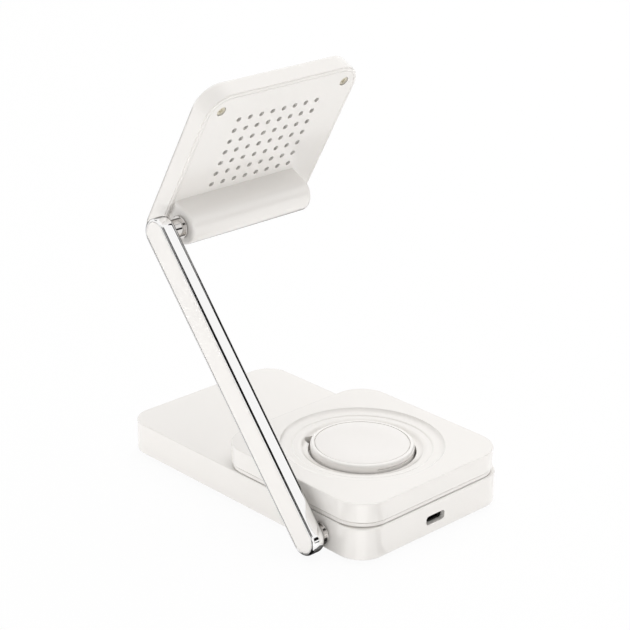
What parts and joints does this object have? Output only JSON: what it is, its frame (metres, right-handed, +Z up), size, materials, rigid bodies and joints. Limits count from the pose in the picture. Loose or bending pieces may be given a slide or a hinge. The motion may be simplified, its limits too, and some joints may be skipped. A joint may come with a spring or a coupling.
{
  "type": "three in one wireless charger",
  "caption": "Folding desk charger: flat earbud tray, raised block with a flip-up watch puck in a stepped dish, bright side arm and a square tilting phone head.",
  "frame": {"origin": "on the table under the middle of the base", "axes": "+X to the arm side, +Y to the rear with the power inlet, +Z up"},
  "size_m": [0.0898, 0.136, 0.1639],
  "materials": {
    "shell_white": "satin moulded",
    "under_grey": "fine matte",
    "band_grey": "satin",
    "pad_soft": "soft touch",
    "foot_rubber": "matte",
    "bright_metal": "polished",
    "steel": "plain",
    "magnet_nickel": "nickel plated",
    "bush_plastic": "moulded",
    "board_green": "solder mask",
    "coil_copper": "enamelled wire",
    "ferrite_dark": "sintered sheet",
    "lead_film": "flexible film"
  },
  "bodies": {
    "base": {"base_shell": "shell_white", "base_bottom": "under_grey", "foot_front_right": "foot_rubber", "foot_front_left": "foot_rubber", "foot_rear_right": "foot_rubber", "foot_rear_left": "foot_rubber", "base_screws": "steel", "waist_band": "band_grey", "block_cover": "shell_white", "block_screws": "steel", "puck_cup": "under_grey", "puck_pin": "steel", "main_board": "board_green", "inlet_shell": "steel", "inlet_tongue": "bush_plastic", "earbud_coil": "coil_copper", "earbud_ferrite": "ferrite_dark", "lower_bush": "bush_plastic"},
    "arm": {"arm_frame": "bright_metal", "arm_plate": "shell_white", "arm_ribbon": "lead_film", "lower_collar": "bright_metal", "lower_shaft": "steel", "lower_washers": "steel", "lower_nut": "steel", "upper_collar": "bright_metal", "upper_shaft": "steel", "upper_washers": "steel", "upper_nut": "steel"},
    "head": {"head_front": "shell_white", "head_pad": "pad_soft", "head_back": "shell_white", "head_screws": "steel", "head_coil": "coil_copper", "head_ferrite": "ferrite_dark", "head_magnets": "magnet_nickel", "upper_bush": "bush_plastic"},
    "puck": {"puck_shell": "shell_white", "puck_disc": "pad_soft", "puck_coil": "coil_copper", "puck_magnet": "magnet_nickel"}
  },
  "joints": [
    {"name": "arm_fold", "type": "hinge", "parent": "base", "child": "arm", "pos_m": [0, 0.047, 0.00725], "axis": [1, 0, 0], "range_deg": [-40.2, 49.4]},
    {"name": "head_tilt", "type": "hinge", "parent": "arm", "child": "head", "pos_m": [0, -0.03581, 0.10525], "axis": [-1, 0, 0], "range_deg": [-28.3, 111]},
    {"name": "puck_flip", "type": "hinge", "parent": "base", "child": "puck", "pos_m": [0, 0.0108, 0.0218], "axis": [1, 0, 0], "range_deg": [0, 90]}
  ]
}
